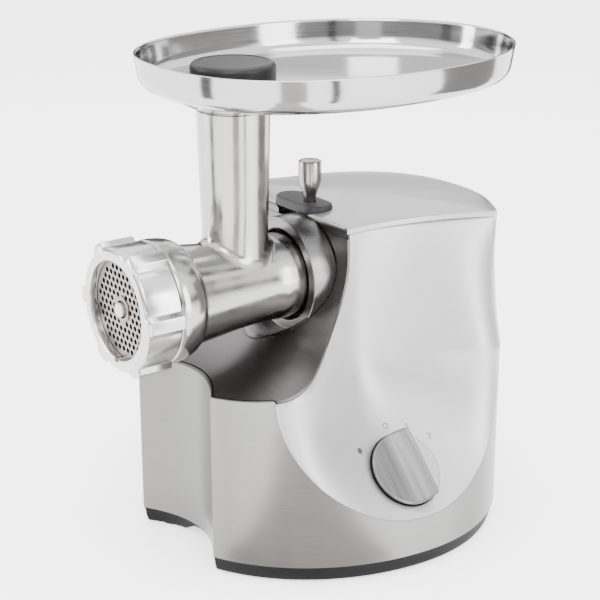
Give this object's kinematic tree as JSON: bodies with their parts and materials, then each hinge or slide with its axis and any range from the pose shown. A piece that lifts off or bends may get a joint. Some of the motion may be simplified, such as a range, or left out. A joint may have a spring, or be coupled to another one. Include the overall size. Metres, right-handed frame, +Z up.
{
  "type": "electric meat grinder",
  "caption": "Electric meat grinder: feed tray over a polished head with auger, blade and plate, on a scooped body with gear drive, motor, lock pin and rotary control.",
  "frame": {"origin": "on the surface the grinder stands on, under the middle of its bounding box", "axes": "+X towards the side with the control knob, -Y the way minced food comes out, +Z up"},
  "size_m": [0.2039, 0.2534, 0.2764],
  "materials": {
    "lower_casing": "brushed stainless sheet",
    "base_plate": "dark grey moulded, fine texture",
    "feet": "black rubber",
    "zinc": "zinc plated steel",
    "satin_silver": "satin silver",
    "pale_silver": "glossy pale silver",
    "cove_metal": "dark polished metal",
    "cast_aluminium": "highly polished casting",
    "cast_dull": "as-cast, dull",
    "tray_metal": "polished pressing",
    "plate_steel": "ground stainless",
    "steel": "bright steel",
    "gear_steel": "oiled gear steel",
    "brass": "plain brass",
    "copper": "copper bars",
    "winding": "enamelled copper wire",
    "laminations": "stacked laminations",
    "carbon": "carbon",
    "grey_plastic": "dark grey, matte",
    "black_plastic": "black, matte",
    "nylon": "natural nylon",
    "board": "green circuit board",
    "capacitor": "yellow case"
  },
  "bodies": {
    "housing": {"lower_casing": "lower_casing", "base_plate": "base_plate", "foot_front_left": "feet", "foot_front_right": "feet", "foot_rear_left": "feet", "foot_rear_right": "feet", "base_screw_front_left": "zinc", "base_screw_front_right": "zinc", "base_screw_rear_left": "zinc", "base_screw_rear_right": "zinc", "control_panel": "satin_silver", "front_cove_panel": "cove_metal", "top_cover": "pale_silver", "rear_cover": "pale_silver", "outlet_collar": "cove_metal", "neck_socket": "cast_dull", "gearbox_housing": "cast_dull", "gearbox_cover": "cast_dull", "output_bearing": "brass", "front_bearing": "steel", "rear_bearing": "steel", "motor_front_bracket": "zinc", "motor_rear_bracket": "zinc", "stator_core": "laminations", "field_coil_upper": "winding", "field_coil_lower": "winding", "brush_holder_left": "brass", "brush_holder_right": "brass", "carbon_brush_left": "carbon", "carbon_brush_right": "carbon", "rotary_switch": "black_plastic", "control_board": "board", "suppression_capacitor": "capacitor", "terminal_block": "nylon", "thermal_cutout": "zinc", "cord_gland": "black_plastic", "lock_pad": "grey_plastic", "pin_guide": "brass", "lock_spring": "steel"},
    "lock_pin": {"lock_pin": "steel"},
    "head": {"grinder_head": "cast_aluminium", "mincer_plate": "plate_steel"},
    "ring_nut": {"ring_nut": "cast_aluminium"},
    "auger": {"auger": "cast_dull", "cutter_blade": "steel", "auger_washer": "nylon"},
    "tray": {"feed_tray": "tray_metal"},
    "pusher": {"pusher": "black_plastic"},
    "output": {"output_gear": "gear_steel", "output_shaft": "steel"},
    "intermediate": {"intermediate_gear": "nylon", "intermediate_pinion": "gear_steel", "intermediate_shaft": "steel"},
    "armature": {"armature_shaft": "steel", "armature_core": "laminations", "commutator": "copper", "cooling_fan": "nylon", "motor_pinion": "gear_steel"},
    "knob": {"control_knob": "satin_silver", "switch_stem": "nylon"}
  },
  "joints": [
    {"name": "lock_pin_lift", "type": "slide", "parent": "housing", "child": "lock_pin", "axis": [0, 0, 1], "range_m": [0, 0.005], "stiffness_N_per_m": 300, "springref_m": -0.004, "deforming": ["lock_spring"]},
    {"name": "head_pull", "type": "slide", "parent": "housing", "child": "head", "axis": [0, -1, 0], "range_m": [0, 0.06]},
    {"name": "ring_nut_turn", "type": "hinge", "parent": "head", "child": "ring_nut", "pos_m": [0, -0.115, 0.1502], "axis": [0, -1, 0], "range_deg": [0, 360]},
    {"name": "auger_spin", "type": "hinge", "parent": "head", "child": "auger", "pos_m": [0, -0.06, 0.1502], "axis": [0, 1, 0], "continuous": true},
    {"name": "tray_lift", "type": "slide", "parent": "head", "child": "tray", "axis": [0, 0, 1], "range_m": [0, 0.06]},
    {"name": "pusher_lift", "type": "slide", "parent": "tray", "child": "pusher", "axis": [0, 0, 1], "range_m": [0, 0.085]},
    {"name": "output_spin", "type": "hinge", "parent": "housing", "child": "output", "pos_m": [0, 0.028, 0.1502], "axis": [0, 1, 0], "continuous": true},
    {"name": "intermediate_spin", "type": "hinge", "parent": "housing", "child": "intermediate", "pos_m": [-0.018, 0.03, 0.11902], "axis": [0, 1, 0], "continuous": true},
    {"name": "armature_spin", "type": "hinge", "parent": "housing", "child": "armature", "pos_m": [-0.012, 0.08, 0.08454], "axis": [0, 1, 0], "continuous": true},
    {"name": "knob_turn", "type": "hinge", "parent": "housing", "child": "knob", "pos_m": [0.0811, 0.008, 0.05205], "axis": [-0.7157, 0, -0.6984], "range_deg": [-45, 60]}
  ],
  "couplings": [
    {"joint": "intermediate_spin", "follows": "armature_spin", "ratio": -0.19149},
    {"joint": "output_spin", "follows": "armature_spin", "ratio": 0.06383},
    {"joint": "auger_spin", "follows": "armature_spin", "ratio": 0.06383}
  ]
}
